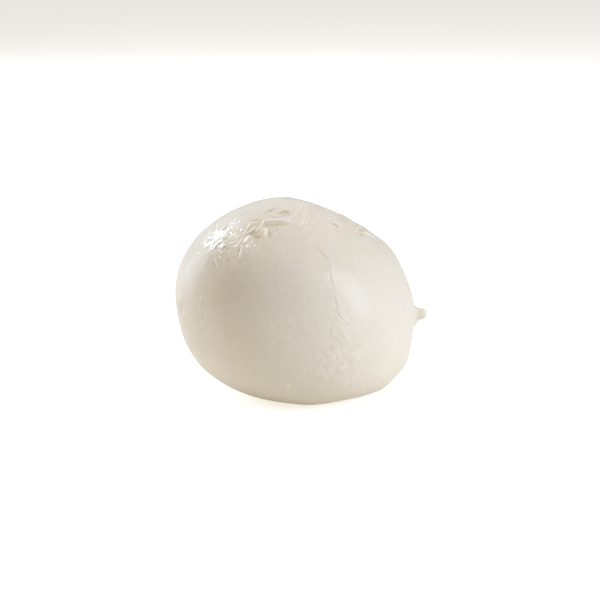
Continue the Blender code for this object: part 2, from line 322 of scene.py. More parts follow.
# %% Down the left edge, strokes where the skin was drawn out
DRAWN = (
    Fold(-163.2, 2.6, -82, 2.8 * MM, 33, 0.34 * MM, -0.10 * MM),
    Fold(-160.6, -3.3, -85, 1.8 * MM, 0, 0.30 * MM, -0.10 * MM),
    Fold(-161.6, 4.4, -76, 3.6 * MM, 4, 0.26 * MM, 0.09 * MM),
    Fold(-158.4, 3.0, -80, 3.0 * MM, 4, 0.28 * MM, -0.09 * MM),
    Fold(-155.9, 4.2, -89, 1.6 * MM, 0, 0.26 * MM, 0.11 * MM),
    Fold(-157.8, -4.1, -61, 1.6 * MM, 0, 0.26 * MM, 0.09 * MM),
    Fold(-145.5, 5.7, -84, 1.8 * MM, 0, 0.26 * MM, 0.09 * MM),
    Fold(-142.1, 7.6, -109, 4.4 * MM, 8, 0.28 * MM, 0.14 * MM),
    Fold(-140.6, 7.0, -103, 3.4 * MM, 0, 0.28 * MM, -0.05 * MM),
    Fold(-136.6, 12.5, -118, 3.9 * MM, 20, 0.28 * MM, 0.12 * MM),
    Fold(-143.6, 3.3, -96, 2.0 * MM, 0, 0.26 * MM, -0.05 * MM),
    Fold(-136.7, 33.2, -37, 3.6 * MM, 0, 0.34 * MM, -0.08 * MM),
    Fold(-135.2, 33.4, -37, 3.2 * MM, 0, 0.30 * MM, 0.12 * MM),
    Fold(-133.8, 39.6, 72, 2.0 * MM, 0, 0.34 * MM, 0.22 * MM),
)

# %% Round the back, the layer's edge runs on, with faint creases and threads beside it
BACK = (
    Fold(38, 66, 150, 16 * MM, 40, 0.55 * MM, 0.07 * MM, 0.3),
    Fold(62, 58, -70, 12 * MM, -30, 0.50 * MM, -0.06 * MM),
    Fold(74, 40, -95, 14 * MM, 25, 0.55 * MM, 0.07 * MM, 0.4),
    Fold(77, 38, -99, 11 * MM, 20, 0.50 * MM, -0.05 * MM),
    Fold(84, 12, -80, 10 * MM, -35, 0.50 * MM, 0.05 * MM, 0.3),
    Fold(100, 48, -140, 9 * MM, 30, 0.45 * MM, 0.05 * MM),
    Fold(112, 30, -125, 7 * MM, -20, 0.45 * MM, -0.05 * MM),
    Fold(130, 55, -110, 8 * MM, 35, 0.45 * MM, 0.06 * MM),
    Fold(148, 20, -85, 9 * MM, 15, 0.45 * MM, 0.05 * MM),
    Fold(152, 16, -88, 6 * MM, 15, 0.45 * MM, -0.05 * MM),
    Fold(40, 10, -60, 8 * MM, 30, 0.45 * MM, 0.05 * MM),
    Fold(58, -22, 60, 7 * MM, 20, 0.50 * MM, -0.05 * MM),
    Fold(120, -25, 115, 8 * MM, -30, 0.50 * MM, 0.05 * MM),
)

# %% [markdown]
# ## A mesh that is fine where it matters
# An icosphere spreads its triangles evenly. A fold half a millimetre wide needs smaller ones
# than plain skin does, so edges near the folds and inside a few round areas are halved until
# they are short enough. Making the whole ball that fine would take several times the triangles.

# %% How fine it has to be, and where
EVEN_SPLITS, EVEN_EDGE = 7, 0.7 * MM
Area = namedtuple("Area", "around up reach edge")  # reach in degrees, the longest edge inside
FINE_AREAS = (
    Area(-118, 54, 26, 0.30 * MM),  # the crown
    Area(-124, 51, 19, 0.17 * MM),
    Area(-152, 44, 14, 0.17 * MM),  # the wet crinkled patch
    Area(-172, 38, 9, 0.21 * MM),
    Area(-66, 66, 11, 0.24 * MM),  # the fan of threads
    Area(-72, -26, 18, 0.30 * MM),  # the frayed edge
    Area(-152, 4, 12, 0.26 * MM),  # the left edge
    Area(-5, -9, 8, 0.20 * MM),  # the nub
)
FOLD_EDGE, FOLD_MARGIN = 0.17 * MM, 0.35 * MM
LONGER = 1.25  # an edge this many times too long is halved
MEAN_RADIUS = 30 * MM


def wanted_edges(directions):
    """How long an edge may be at each of the directions."""
    points = smooth_body(directions)
    wanted = np.full(len(points), EVEN_EDGE)
    for area in FINE_AREAS:
        inside = directions @ direction(area.around, area.up) > math.cos(math.radians(area.reach))
        wanted[inside] = np.minimum(wanted[inside], area.edge)
    for fold in RING + FAN + SEAM + FRAYED + LEAF + DRAWN + BACK:
        near = near_place(points, fold.around, fold.up, fold.length + FOLD_MARGIN)
        beside = along_and_beside(points[near], fold)[1]
        wanted[near[abs(beside) < fold.width + FOLD_MARGIN]] = FOLD_EDGE
    return wanted


# %% Halve the edges that are too long


def split_long_edges(bm):
    """One pass. It says whether anything was split."""
    ends = np.array([(edge.verts[0].index, edge.verts[1].index) for edge in bm.edges])
    directions = np.array([tuple(vertex.co) for vertex in bm.verts])
    lengths = np.linalg.norm(directions[ends[:, 0]] - directions[ends[:, 1]], axis=1) * MEAN_RADIUS
    too_long = np.flatnonzero(lengths > LONGER * wanted_edges(directions)[ends].max(axis=1))
    bm.edges.ensure_lookup_table()
    bmesh.ops.subdivide_edges(bm, edges=[bm.edges[i] for i in too_long], cuts=1)
    bmesh.ops.triangulate(bm, faces=[face for face in bm.faces if len(face.verts) > 3])
    for vertex in bm.verts:
        vertex.co.normalize()
    bm.verts.index_update()
    return len(too_long) > 0


ball_bm = bmesh.new()
bmesh.ops.create_icosphere(ball_bm, subdivisions=EVEN_SPLITS, radius=1)
ball_bm.verts.index_update()
while split_long_edges(ball_bm):
    pass
directions = np.array([tuple(vertex.co) for vertex in ball_bm.verts])
body = smooth_body(directions)
print("triangles in the ball:", len(ball_bm.faces))

# %% Put the vertices somewhere, and read back the normals there


def place_vertices(points):
    for vertex, point in zip(ball_bm.verts, points.tolist()):
        vertex.co = point
    ball_bm.normal_update()


place_vertices(body)
normals = np.array([tuple(vertex.normal) for vertex in ball_bm.verts])

# %% [markdown]
# ## Ridges, creases, lips and knobs
# Small forms on the skin are a few profiles pushed out along the surface's normal. They are
# real geometry, and not a bump in the material, so that they also show at the outline. Only
# the finest grain is left to the material.

# %% The profiles
rise, crease_shade = np.zeros(len(body)), np.zeros(len(body))
FULL_SHADE_DEPTH = 0.7 * MM  # a crease this deep gets the whole painted shade
END_WIDTH = 0.4  # a fold's width at its ends, against its middle
MARGIN = 1.5  # points this many times a small form's size away are looked at


def spindle(share):
    return np.sqrt(np.clip(4 * share * (1 - share), 0, 1))


def add_ridge(fold):
    """A ridge with pointed ends, or a crease with painted shade in tan at its bottom."""
    near = near_place(body, fold.around, fold.up, fold.length + 2 * fold.width)
    share, beside = along_and_beside(body[near], fold)
    taper = spindle(share)
    side = np.where(beside < 0, 1 - fold.steep, 1 + fold.steep)
    across = beside / (fold.width * side * (END_WIDTH + (1 - END_WIDTH) * taper))
    profile = taper * np.clip(1 - across**2, 0, 1) ** fold.power
    rise[near] += fold.height * profile
    # painted shade: a crease's bottom gets tan, more the deeper it is
    if fold.height < 0:
        crease_shade[near] = np.maximum(crease_shade[near], -fold.height / FULL_SHADE_DEPTH * profile)


def add_lip(fold):
    near = near_place(body, fold.around, fold.up, fold.length + 4 * LIP_SLOPE)
    share, beside = along_and_beside(body[near], fold)
    back = np.exp(-np.maximum(beside, 0) / LIP_SLOPE)
    drop = np.cos(np.clip(-beside / fold.width, 0, 1) * math.pi / 2) ** 2
    rise[near] += fold.height * spindle(share) * back * drop


def turned(flat, turn):
    """Offsets in the plane of a place, measured from axes turned by so many degrees."""
    cosine, sine = math.cos(math.radians(turn)), math.sin(math.radians(turn))
    return flat[:, 0] * cosine + flat[:, 1] * sine, flat[:, 1] * cosine - flat[:, 0] * sine


def add_knob(around, up, across, along, height, turn=0.0, power=0.75):
    """A dome, or a pit where the height is negative."""
    near = near_place(body, around, up, MARGIN * max(across, along))
    right, above = turned(seen_from_outside(body[near], around, up), turn)
    radius = np.hypot(right / across, above / along)
    rise[near] += height * np.clip(1 - radius**2, 0, 1) ** power


# %% Raise all the listed folds
for fold in CROWN + RING + FAN + SEAM + FRAYED + LEAF + DRAWN + BACK:
    add_ridge(fold)
for fold in LIPS:
    add_lip(fold)
print("the highest fold, mm:", round(rise.max() / MM, 2))
print("the deepest crease, mm:", round(rise.min() / MM, 2))

# %% The blister, the pit beside it, the ring's hollow and the nicks at the outline
add_knob(-104.8, 54.6, 1.9 * MM, 2.3 * MM, 0.50 * MM, -8, 1.0)
add_knob(-101.8, 55.8, 0.8 * MM, 1.2 * MM, 0.12 * MM, -8, 1.0)
add_knob(-112.0, 53.8, 0.6 * MM, 0.7 * MM, -0.08 * MM)
add_knob(-79, 71, 1.7 * MM, 1.7 * MM, -0.10 * MM)
add_knob(56, 79, 1.6 * MM, 1.0 * MM, 0.22 * MM, 30)
add_knob(26, 59.5, 2.0 * MM, 1.0 * MM, -0.28 * MM, 20)
add_knob(23, 55.5, 2.4 * MM, 1.5 * MM, 0.20 * MM, -15)
add_knob(19, 50, 2.0 * MM, 1.6 * MM, -0.22 * MM, 35)
add_knob(16, 45, 1.8 * MM, 0.8 * MM, 0.20 * MM, -10)
add_knob(14, 42.3, 1.9 * MM, 0.7 * MM, -0.24 * MM, 15)
add_knob(40, 74, 1.8 * MM, 0.9 * MM, -0.16 * MM, -25)
add_knob(-6, 48.6, 0.7 * MM, 0.8 * MM, -0.26 * MM)
add_knob(3, 47, 0.9 * MM, 0.6 * MM, -0.26 * MM)
add_knob(-92, 3, 0.6 * MM, 0.5 * MM, 0.12 * MM)

# %% [markdown]
# ## Marks by the dozen
# The pull of the hand leaves strokes by the dozen that nobody would place one by one. A
# seeded generator scatters them round a place, so they fall the same way in every run.

# %% Scattered strokes, specks and rough skin
Spread = namedtuple("Spread", "around up half_width half_height")
OVAL_MARGIN = 1.2  # points this many times an oval's half size away are looked at
STRAY_HEADING, STRAY_BEND = 9, 25  # degrees that strokes stray from their heading and from straight


def scattered(spread, count, seed):
    """Places round the middle of a spread, thinning outwards, each with the generator."""
    draw = random.Random(seed)
    for _ in range(count):
        right, above = draw.gauss(0, spread.half_width / 2), draw.gauss(0, spread.half_height / 2)
        up = spread.up + math.degrees(above / MEAN_RADIUS)
        around = spread.around + math.degrees(right / MEAN_RADIUS) / math.cos(math.radians(up))
        yield around, up, draw


def add_strokes(spread, heading, length, width, height, count, seed):
    """Short ridges that all run nearly the same way."""
    for around, up, draw in scattered(spread, count, seed):
        size = draw.uniform(0.5, 1.5)
        turn, bend = heading + draw.gauss(0, STRAY_HEADING), draw.gauss(0, STRAY_BEND)
        add_ridge(Fold(around, up, turn, length * size, bend, width * draw.uniform(0.7, 1.2), height * size))


def add_specks(spread, radius, height, count, seed):
    for around, up, draw in scattered(spread, count, seed):
        size = draw.uniform(0.6, 1.4)
        longer, turn = draw.uniform(0.7, 1.6), draw.uniform(0, 180)
        add_knob(around, up, radius * size, radius * size * longer, height * size, turn)


def add_rough_skin(spread, grain, stretch, depth, turn=0.0):
    """Uneven skin in an oval: the grain is the bumps' spacing, stretched along the oval's height."""
    near = near_place(body, spread.around, spread.up, OVAL_MARGIN * max(spread[2:]))
    right, above = turned(seen_from_outside(body[near], spread.around, spread.up), turn)
    fade = np.clip(1 - (right / spread.half_width) ** 2 - (above / spread.half_height) ** 2, 0, 1)
    places = zip((right / grain).tolist(), (above / (grain * stretch)).tolist())
    rise[near] += depth * fade * np.array([noise.fractal((r, a, spread.up), 0.7, 2.0, 3) for r, a in places])


# %% [markdown]
# ## The wet crinkled patch
# To the left of the crown the skin stayed wet. It is drawn into short strokes that glitter,
# densest in one patch, and further round it only dimples.

# %% The patch, the strokes and specks round it, and the dimples
add_rough_skin(Spread(-148, 46.5, 6.0 * MM, 8.5 * MM), 1.2 * MM, 2.2, 0.07 * MM)
add_strokes(Spread(-148, 46.5, 4.0 * MM, 6.0 * MM), 84, 1.5 * MM, 0.26 * MM, 0.06 * MM, 70, 11)
add_strokes(Spread(-133, 44, 7 * MM, 6 * MM), 82, 1.3 * MM, 0.24 * MM, 0.05 * MM, 70, 12)
add_strokes(Spread(-163, 40, 4 * MM, 5 * MM), 90, 0.6 * MM, 0.26 * MM, 0.06 * MM, 60, 16)
add_specks(Spread(-126, 37, 9 * MM, 5 * MM), 0.34 * MM, 0.05 * MM, 40, 20)
add_rough_skin(Spread(-127, 38, 11 * MM, 8 * MM), 2.2 * MM, 1.0, 0.07 * MM)
add_rough_skin(Spread(-118, 56, 10 * MM, 8 * MM), 0.9 * MM, 1.4, 0.06 * MM)
add_rough_skin(Spread(-95, 76, 7 * MM, 5 * MM), 1.3 * MM, 1.0, 0.09 * MM)

# %% [markdown]
# ## Threads that fan out
# From the ring fine threads sweep away in arcs, like the lines in poured cream.

# %% The fan of threads
FAN_THREADS = 26
FAN_AROUND, FAN_UP, FAN_SWEEP = -84, 65, 40  # where the threads start, and how far round that runs
FAN_HEADING, FAN_TURN = -116, -8


def add_fan():
    draw = random.Random(5)
    for thread in range(FAN_THREADS):
        share = thread / (FAN_THREADS - 1)
        around, up = FAN_AROUND + FAN_SWEEP * share + draw.gauss(0, 4), FAN_UP + draw.gauss(0, 4)
        heading = FAN_HEADING + FAN_TURN * share + draw.gauss(0, 6)
        length, bend = draw.uniform(2, 6) * MM, draw.uniform(-60, -15)
        add_ridge(Fold(around, up, heading, length, bend, 0.24 * MM, draw.uniform(0.05, 0.13) * MM))


add_fan()

# %% [markdown]
# ## The left edge and the frayed edge
# On the left the skin is drawn out in upright strokes, with a mottled spot below them. Under
# the seam the strokes lie slanted.

# %% Strokes down the left edge and over the frayed edge
add_strokes(Spread(-160, 0, 3 * MM, 5 * MM), 96, 1.8 * MM, 0.26 * MM, 0.05 * MM, 40, 21)
add_strokes(Spread(-165, 28, 3 * MM, 6 * MM), 88, 2.4 * MM, 0.28 * MM, 0.03 * MM, 20, 23)
add_rough_skin(Spread(-139, -5, 4 * MM, 4 * MM), 1.1 * MM, 1.2, 0.10 * MM)
add_rough_skin(Spread(-160, 0, 5 * MM, 7 * MM), 1.0 * MM, 2.2, 0.10 * MM)
add_strokes(Spread(-71, 9, 1.6 * MM, 5 * MM), -62, 1.6 * MM, 0.24 * MM, 0.035 * MM, 26, 31)
add_strokes(Spread(-66, -38, 9 * MM, 5 * MM), 57, 3.0 * MM, 0.28 * MM, 0.025 * MM, 50, 41)
add_strokes(Spread(-76, -22, 7 * MM, 6 * MM), 66, 1.5 * MM, 0.26 * MM, 0.035 * MM, 60, 43)
add_rough_skin(Spread(-78, -22, 8 * MM, 8 * MM), 1.3 * MM, 1.3, 0.045 * MM)
add_rough_skin(Spread(-66, -20, 7 * MM, 8 * MM), 1.2 * MM, 1.6, 0.04 * MM)
add_rough_skin(Spread(-92, 0, 9 * MM, 9 * MM), 1.5 * MM, 1.0, 0.035 * MM)
add_rough_skin(Spread(95, 15, 24 * MM, 18 * MM), 4.0 * MM, 1.4, 0.05 * MM)
add_rough_skin(Spread(150, 5, 12 * MM, 16 * MM), 3.0 * MM, 1.6, 0.045 * MM)
add_rough_skin(Spread(45, -5, 12 * MM, 14 * MM), 3.0 * MM, 1.2, 0.04 * MM)
add_specks(Spread(-100, -36, 2.0 * MM, 1.0 * MM), 0.45 * MM, 0.16 * MM, 6, 42)

# %% The shoulder over the nub is nicked
add_specks(Spread(-23, 63, 1.5 * MM, 1.0 * MM), 0.35 * MM, 0.14 * MM, 6, 51)
add_specks(Spread(-6, 51, 3.0 * MM, 2.5 * MM), 0.45 * MM, 0.12 * MM, 9, 52)
add_specks(Spread(0, 50, 3.5 * MM, 4.0 * MM), 0.50 * MM, -0.12 * MM, 9, 53)
add_rough_skin(Spread(-5, 50, 7 * MM, 8 * MM), 2.0 * MM, 1.0, 0.16 * MM)

# %% [markdown]
# ## Uneven all over
# Even the smooth skin swells and dips by a tenth of a millimetre, which a wet surface shows
# in its highlights.

# %% Swell the whole skin a little
SWELL, SWELL_SPACING = 0.12 * MM, 9 * MM
marks = rise.copy()  # without the swell: it tells threads from creases
rise += SWELL * np.array([noise.fractal(point, 0.8, 2.0, 3) for point in (body / SWELL_SPACING).tolist()])
print("the relief runs from", round(rise.min() / MM, 2), "to", round(rise.max() / MM, 2), "mm")

# %% [markdown]
# ## Flakes that glint
# On the wet skin lie flakes no bigger than a pinhead, and the folds beside them have narrow
# flat backs. Those that face half-way between a light and the eye glint. So a flake is a small
# flat facet: inside a circle the relief is replaced by a plane that faces a given way. They
# come last, so that nothing tilts them afterwards.

# %% Flakes, one by one, in rows and by the dozen
WINDOW_GLINT = np.array((-0.549, -0.319, 0.773))  # faces about half-way between the window and the eye
CROWN_GLINT = np.array((-0.313, -0.533, 0.786))  # and between the small light over the crown and the eye
WINDOW_ROWS = (  # narrow flat backs, each as a fold with its half-width and no height
    Fold(-134.0, 39.5, 71, 1.6 * MM, 2, 0.34 * MM, 0),
    Fold(-132.1, 34.1, 60, 0.9 * MM, 0, 0.30 * MM, 0),
    Fold(-140.8, 39.1, 103, 3.3 * MM, -50, 0.34 * MM, 0),
    Fold(-144.2, 39.0, 100, 1.2 * MM, 0, 0.30 * MM, 0),
    Fold(-148.8, 39.2, 107, 1.2 * MM, 0, 0.30 * MM, 0),
    Fold(-137.7, 48.9, 39, 1.8 * MM, 28, 0.26 * MM, 0),
)
CROWN_ROWS = (
    Fold(-111.0, 53.1, 75, 5.9 * MM, 13, 0.33 * MM, 0),
    Fold(-119.6, 61.2, -80, 3.6 * MM, -14, 0.28 * MM, 0),
    Fold(-115.3, 52.3, -95, 3.6 * MM, -16, 0.30 * MM, 0),
    Fold(-123.9, 51.6, 15, 0.9 * MM, 0, 0.24 * MM, 0),
    Fold(-87.0, 71.6, -94, 1.2 * MM, 0, 0.22 * MM, 0),
    Fold(-111.6, 49.2, -80, 0.6 * MM, 0, 0.24 * MM, 0),
)
WINDOW_DOTS = (  # around, up and radius in mm
    (-156, 63.8, 0.32), (-150, 62.6, 0.26), (-145, 62, 0.28), (-142, 60.6, 0.28), (-153, 62.2, 0.20),
    (-121.3, 53.9, 0.36), (-131.8, 56.4, 0.36), (-130.0, 55.9, 0.24), (-132, 51.5, 0.26), (-137, 62, 0.30),
    (-138, 56, 0.24), (-128, 41.5, 0.26), (-124.6, 49, 0.26), (-131, 65.6, 0.24), (-152, 58, 0.26),
    (-162.2, 38.3, 0.28), (-162.9, 36.6, 0.24), (-151, 40, 0.30), (-146, 59, 0.24), (-142, 54, 0.26),
    (-155, 20, 0.24), (-162, 10, 0.22), (-156, 3, 0.22), (-145, 4, 0.20), (-143, 6, 0.24), (-138, 7, 0.22),
)
CROWN_DOTS = (
    (-114, 57.5, 0.26), (-112, 60, 0.24), (-117, 54.6, 0.22), (-95.2, 56.3, 0.24), (-91.2, 56.4, 0.26),
    (-108.5, 45.2, 0.32), (-107, 45.9, 0.26), (-105.2, 44.8, 0.32), (-113.6, 45.1, 0.22),
    (-115.7, 44.9, 0.20), (-119.5, 44.4, 0.22), (-123.8, 44.2, 0.22), (-126.5, 44.1, 0.20),
    (-110, 38.6, 0.26), (-74.3, 72.7, 0.20),
)
SMALLEST_FLAKE = 4  # vertices: on coarse skin a flake would be one spike
FLAKE_EDGE = 1.8  # a flake is flat out to two thirds of its radius, and blends in beyond that
FILM_REACH = 1.2  # the film round a flake, against its radius
flakes = []


def add_flake(around, up, radius, facing):
    near = near_place(body, around, up, MARGIN * radius)
    if len(near) < SMALLEST_FLAKE:
        return
    start, *axes = frame_at(around, up)
    local = (body[near] - start) @ np.column_stack(axes)
    tilt = facing @ np.column_stack(axes)
    plane = -(local[:, :2] @ tilt[:2]) / tilt[2]
    away = np.hypot(local[:, 0], local[:, 1])
    share = np.clip(FLAKE_EDGE * (1 - (away / radius) ** 2), 0, 1)
    rise[near] += share * (rise[near][away.argmin()] + plane - rise[near])
    flakes.append(Spread(around, up, FILM_REACH * radius, FILM_REACH * radius))


def add_row(row, facing):
    """Flakes side by side along an arc."""
    near = near_place(body, row.around, row.up, row.length + row.width)
    share, beside = along_and_beside(body[near], row)
    steps = math.ceil(row.length / row.width)
    for step in range(steps + 1):
        closest = near[np.hypot(share - step / steps, beside / row.length).argmin()]
        x, y, z = directions[closest]
        add_flake(math.degrees(math.atan2(y, x)), math.degrees(math.asin(z)), row.width, facing)


def add_flakes(spread, radius, astray, count, seed):
    """Flakes that face the window give or take a few degrees."""
    for around, up, draw in scattered(spread, count, seed):
        facing = WINDOW_GLINT + np.array([draw.gauss(0, astray) for _ in range(3)])
        add_flake(around, up, radius * draw.uniform(0.6, 1.3), facing / np.linalg.norm(facing))


add_flakes(Spread(-145, 47.5, 5.0 * MM, 7.0 * MM), 0.32 * MM, 0.09, 64, 61)
add_flakes(Spread(-133, 46, 8 * MM, 8 * MM), 0.18 * MM, 0.08, 18, 62)
add_flakes(Spread(-172, 38, 4 * MM, 6 * MM), 0.22 * MM, 0.06, 22, 63)
for facing, rows, dots in ((WINDOW_GLINT, WINDOW_ROWS, WINDOW_DOTS), (CROWN_GLINT, CROWN_ROWS, CROWN_DOTS)):
    for row in rows:
        add_row(row, facing)
    for around, up, radius in dots:
        add_flake(around, up, radius * MM, facing)
print("flakes on the skin:", len(flakes))

# %% [markdown]
# ## The nub
# Where the ball was torn off the rope of curd a short blunt teat stays. The skin is gathered
# in round it and drawn out along an outline, so the mesh stays one closed surface.

# %% Draw out the nub
NUB_AROUND, NUB_UP = -5, -9.5
NUB_OUTLINE = (  # radius and height
    (0.0, 3.3), (0.6, 3.25), (1.1, 2.95), (1.42, 2.45), (1.56, 1.9),
    (1.58, 1.3), (1.68, 0.75), (2.1, 0.2), (2.8, 0.0),
)
NUB_TILT, NUB_FLATTENING = 0.16, 0.85
TINY = 1e-9  # keeps the nub's very middle from being divided by nothing
add_knob(NUB_AROUND, NUB_UP - 4.5, 1.5 * MM, 1.6 * MM, 0.9 * MM)  # the web of curd under it
add_knob(NUB_AROUND, NUB_UP + 4.2, 1.2 * MM, 0.6 * MM, 0.60 * MM)  # the roll of skin over it


def nub_moved(points):
    start, rightward, upward, outward = frame_at(NUB_AROUND, NUB_UP)
    flat = seen_from_outside(points, NUB_AROUND, NUB_UP)
    outline = np.array(NUB_OUTLINE) * MM
    lengths = np.concatenate(((0,), np.cumsum(np.hypot(*np.diff(outline, axis=0).T))))
    radius = np.hypot(flat[:, 0] / NUB_FLATTENING, flat[:, 1])
    root = outline[-1, 0]
    inside = (radius < root) & (flat[:, 2] > -root)
    share = radius / root * lengths[-1]
    gather = np.interp(share, lengths, outline[:, 0]) / np.maximum(radius, TINY)
    height = np.interp(share, lengths, outline[:, 1])
    moved = np.outer(flat[:, 0] * gather, rightward) + np.outer(flat[:, 1] * gather, upward)
    moved += start + np.outer(flat[:, 2] + height, outward) + np.outer(NUB_TILT * height, upward)
    return np.where(inside[:, None], moved, points)


# %% [markdown]
# ## Where it is wet, and where shade is painted
# Whey stays on the crinkled skin and dries off the smooth skin. Creases, pits and the shaded
# sides of folds get painted shade in tan. A number for every vertex, kept as an attribute of
# the mesh, tells the finish.

# %% Wetness and painted shade, from 0 to 1
DRIER = 0.35  # the share of the film that is left between the threads
WETTER_RISE = 0.06 * MM  # a thread this high carries the whole film
wet, painted_shade = np.zeros(len(body)), np.clip(crease_shade, 0, 1)


def mark(mask, spread, amount):
    """Mark an oval, strongest in its middle."""
    near = near_place(body, spread.around, spread.up, OVAL_MARGIN * max(spread[2:]))
    flat = seen_from_outside(body[near], spread.around, spread.up)
    fade = np.clip(1 - (flat[:, 0] / spread.half_width) ** 2 - (flat[:, 1] / spread.half_height) ** 2, 0, 1)
    mask[near] = np.maximum(mask[near], amount * np.sqrt(fade))


mark(wet, Spread(-146, 47.2, 3.2 * MM, 4.8 * MM), 1.0)
mark(wet, Spread(-136, 44, 6 * MM, 8 * MM), 0.4)
mark(wet, Spread(-165, 41, 4 * MM, 4 * MM), 0.25)
mark(wet, Spread(-125, 55, 5 * MM, 6 * MM), 0.3)
mark(wet, Spread(-86, 70, 6 * MM, 5 * MM), 0.6)
mark(wet, Spread(-147, 6, 7 * MM, 4 * MM), 0.9)
wet *= DRIER + (1 - DRIER) * np.clip(marks / WETTER_RISE, 0, 1)
for flake in flakes:
    mark(wet, flake, 1.0)
# Painted shade in tan: in the pit, on the blister's shaded side and round it, below the spindle, in the
# ring's hollow, and in the pits and by the roll over the nub
mark(painted_shade, Spread(-112.0, 53.8, 0.9 * MM, 0.8 * MM), 0.7)
mark(painted_shade, Spread(-107.3, 54.2, 1.6 * MM, 2.1 * MM), 0.45)
mark(painted_shade, Spread(-107.2, 51.6, 1.9 * MM, 0.8 * MM), 0.5)
mark(painted_shade, Spread(-99.0, 55.2, 0.4 * MM, 1.2 * MM), 0.5)
mark(painted_shade, Spread(-89.9, 61.8, 4.2 * MM, 0.9 * MM), 0.3)
mark(painted_shade, Spread(-91.0, 57.9, 0.4 * MM, 0.4 * MM), 0.9)
mark(painted_shade, Spread(-79, 71, 1.7 * MM, 1.7 * MM), 0.2)
mark(painted_shade, Spread(-6, 48.6, 0.8 * MM, 0.9 * MM), 0.5)
mark(painted_shade, Spread(3, 47, 1.0 * MM, 0.7 * MM), 0.5)
mark(painted_shade, Spread(NUB_AROUND, NUB_UP + 4.5, 1.5 * MM, 0.8 * MM), 0.5)

# %% [markdown]
# ## Put the ball together
# The relief goes out along the normals, the nub is drawn out, and the ball is set down with
# the middle of its box over the origin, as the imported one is. Then it is shrunk by the hair
# that the uneven skin has added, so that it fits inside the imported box.

# %% Make the ball
points = nub_moved(body + normals * rise[:, None])
low, high = points.min(axis=0), points.max(axis=0)
points -= np.array(((low[0] + high[0]) / 2, (low[1] + high[1]) / 2, low[2]))
packed_size = np.array(cad_box[1]) - np.array(cad_box[0])
shrink = min(1.0, (packed_size / (high - low)).min())
points *= shrink
place_vertices(points)
mesh = bpy.data.meshes.new("ball_of_curd")
ball_bm.to_mesh(mesh)
ball_bm.free()
mesh.shade_smooth()
for name, values in (("wet", wet), ("painted_shade", painted_shade), ("relief", marks / MM)):
    mesh.attributes.new(name, "FLOAT", "POINT").data.foreach_set("value", values)
ball = bpy.data.objects.new("ball_of_curd", mesh)
bpy.context.scene.collection.objects.link(ball)
print("the ball's size, mm:", [round(x / MM, 2) for x in (high - low) * shrink])
print("it was shrunk to", round(shrink, 4), "of its size")

# %% [markdown]
# ## The finish of wet curd
# Stretched curd is white with a little cream in it, lets light in a millimetre or two, and
# carries a film of whey. Principled does all three: subsurface for the depth, a satin base
# for the skin, and a clear coat for the film, which is faint but where the skin is wet.

# %% Helpers for nodes
FACTOR, COLOR_A, COLOR_B, MIXED = 0, 6, 7, 2  # the places of a Mix node's colour sockets
curd = bpy.data.materials.new("wet_curd")
curd.use_nodes = True
nodes, links = curd.node_tree.nodes, curd.node_tree.links
shader = nodes["Principled BSDF"]


def node(kind, settings, **inputs):
    """Add a node, with its settings and its input values by name."""
    made = nodes.new(kind)
    for name, value in settings.items():
        setattr(made, name, value)
    for name, value in inputs.items():
        made.inputs[name.replace("_", " ")].default_value = value
    return made


def scaled(source, low_in, high_in, low_out, high_out):
    """Map a range of values onto another."""
    ranged = node("ShaderNodeMapRange", {}, From_Min=low_in, From_Max=high_in)
    ranged.inputs["To Min"].default_value, ranged.inputs["To Max"].default_value = low_out, high_out
    links.new(source, ranged.inputs["Value"])
    return ranged.outputs["Result"]


# %% Colour: painted shade in the creases, a painted highlight on the ridges, and tan painted shade
shader.inputs["IOR"].default_value = 1.4
shader.inputs["Subsurface Weight"].default_value = 0.4
shader.inputs["Subsurface Radius"].default_value = (1.0, 0.9, 0.8)
shader.inputs["Subsurface Scale"].default_value = 1.2 * MM
shader.inputs["Coat Roughness"].default_value = 0.09
shader.inputs["Coat IOR"].default_value = 1.8
shader.inputs["Roughness"].default_value = 0.5

place = node("ShaderNodeTexCoord", {}).outputs["Object"]
wet_here = node("ShaderNodeAttribute", {"attribute_name": "wet"}).outputs["Fac"]
painted_shade_here = node("ShaderNodeAttribute", {"attribute_name": "painted_shade"}).outputs["Fac"]
relief_here = node("ShaderNodeAttribute", {"attribute_name": "relief"}).outputs["Fac"]
# Painted light: the ramp darkens the creases as painted shade and whitens the ridges as a painted highlight;
# the noise adds a random tone
tone_and_relief_light = node("ShaderNodeValToRGB", {})
tone_and_relief_light.color_ramp.elements[0].color = (0.70, 0.64, 0.53, 1)
tone_and_relief_light.color_ramp.elements[1].color = (0.96, 0.94, 0.875, 1)
tone_and_relief_light.color_ramp.elements.new(0.5).color = (0.85, 0.825, 0.76, 1)
mottle = node("ShaderNodeTexNoise", {}, Scale=700, Detail=4, Roughness=0.65)
links.new(place, mottle.inputs["Vector"])
mottle_plus_relief = node("ShaderNodeMath", {"operation": "MULTIPLY_ADD"})
links.new(mottle.outputs["Fac"], mottle_plus_relief.inputs[0])
mottle_plus_relief.inputs[1].default_value = 0.10  # as much as a tenth of a millimetre of relief would
links.new(relief_here, mottle_plus_relief.inputs[2])
SHADE_AT, HIGHLIGHT_AT = -0.10, 0.20  # millimetres of relief where the painted shade is darkest and the painted highlight whitest
links.new(scaled(mottle_plus_relief.outputs["Value"], SHADE_AT, HIGHLIGHT_AT, 0, 1), tone_and_relief_light.inputs["Fac"])
# painted shade: the tan mask darkens the colour in creases, pits and under folds
with_painted_shade = node("ShaderNodeMix", {"data_type": "RGBA"})
links.new(painted_shade_here, with_painted_shade.inputs[FACTOR])
links.new(tone_and_relief_light.outputs["Color"], with_painted_shade.inputs[COLOR_A])
with_painted_shade.inputs[COLOR_B].default_value = (0.70, 0.58, 0.38, 1)
links.new(with_painted_shade.outputs[MIXED], shader.inputs["Base Color"])

# %% Gloss: satin skin, with a film where it is wet
links.new(scaled(wet_here, 0, 1, 0.12, 1.0), shader.inputs["Coat Weight"])

